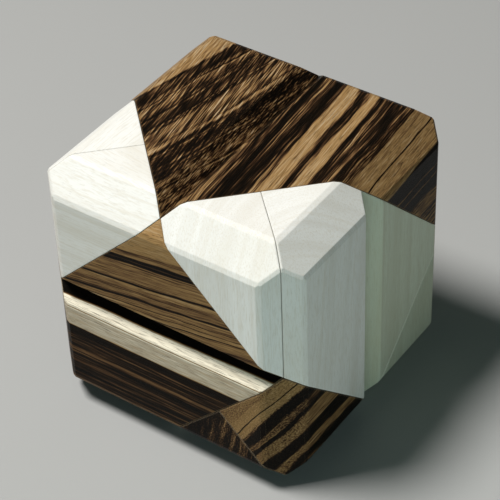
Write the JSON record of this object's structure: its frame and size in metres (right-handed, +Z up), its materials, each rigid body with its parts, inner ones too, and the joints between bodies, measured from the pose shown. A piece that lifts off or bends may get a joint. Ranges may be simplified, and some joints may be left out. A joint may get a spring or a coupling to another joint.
{
  "type": "wooden puzzle box",
  "caption": "Chamfered cube of pale and dark striped wood blocks with a V-groove across each face; its six side modules slide apart together to open an inner compartment.",
  "frame": {"origin": "centre of the underside, on the plane the box stands on", "axes": "+Z up; X and Y are the normals of the four side faces, so -X is the front left face and -Y the front right face"},
  "size_m": [0.08, 0.08, 0.08],
  "materials": {
    "striped": "satin oiled dark wood with gold and black-brown stripes",
    "pale": "satin pale fine-grained hardwood",
    "lining": "plain unpolished hardwood",
    "dowel": "plain turned hardwood"
  },
  "bodies": {
    "bottom_module": {"bottom_pale_near": "pale", "bottom_pale_far": "pale", "bottom_striped_corner_under": "striped", "bottom_striped_corner_side": "striped", "bottom_inner_panel": "lining", "bottom_dowel_to_front_left": "dowel", "bottom_dowel_to_back_right": "dowel"},
    "top_module": {"top_striped_near": "striped", "top_striped_far": "striped", "top_inner_panel": "lining", "top_dowel_to_front_left": "dowel", "top_dowel_to_back_right": "dowel"},
    "front_left_module": {"front_left_striped_upper": "striped", "front_left_striped_lower": "striped", "front_left_pale_corner": "pale", "front_left_inner_panel": "lining", "front_left_dowel_to_front_right": "dowel", "front_left_dowel_to_back_left": "dowel"},
    "front_right_module": {"front_right_pale_left": "pale", "front_right_pale_right": "pale", "front_right_pale_low_corner": "pale", "front_right_inner_panel": "lining", "front_right_dowel_to_bottom": "dowel", "front_right_dowel_to_top": "dowel"},
    "back_left_module": {"back_left_striped_left": "striped", "back_left_striped_right": "striped", "back_left_pale_corner_near": "pale", "back_left_pale_corner_far": "pale", "back_left_inner_panel": "lining", "back_left_dowel_to_bottom": "dowel", "back_left_dowel_to_top": "dowel"},
    "back_right_module": {"back_right_pale_upper": "pale", "back_right_pale_lower": "pale", "back_right_pale_low_corner": "pale", "back_right_inner_panel": "lining", "back_right_dowel_to_front_right": "dowel", "back_right_dowel_to_back_left": "dowel"}
  },
  "joints": [
    {"name": "top_lift", "type": "slide", "parent": "bottom_module", "child": "top_module", "axis": [0, 0, 1], "range_m": [0, 0.016]},
    {"name": "front_left_slide", "type": "slide", "parent": "bottom_module", "child": "front_left_module", "axis": [-0.7071, 0, 0.7071], "range_m": [0, 0.01132]},
    {"name": "front_right_slide", "type": "slide", "parent": "bottom_module", "child": "front_right_module", "axis": [0, -0.7071, 0.7071], "range_m": [0, 0.01132]},
    {"name": "back_left_slide", "type": "slide", "parent": "bottom_module", "child": "back_left_module", "axis": [0, 0.7071, 0.7071], "range_m": [0, 0.01132]},
    {"name": "back_right_slide", "type": "slide", "parent": "bottom_module", "child": "back_right_module", "axis": [0.7071, 0, 0.7071], "range_m": [0, 0.01132]}
  ],
  "couplings": [
    {"joint": "front_left_slide", "follows": "top_lift", "ratio": 0.70711},
    {"joint": "front_right_slide", "follows": "top_lift", "ratio": 0.70711},
    {"joint": "back_left_slide", "follows": "top_lift", "ratio": 0.70711},
    {"joint": "back_right_slide", "follows": "top_lift", "ratio": 0.70711}
  ]
}
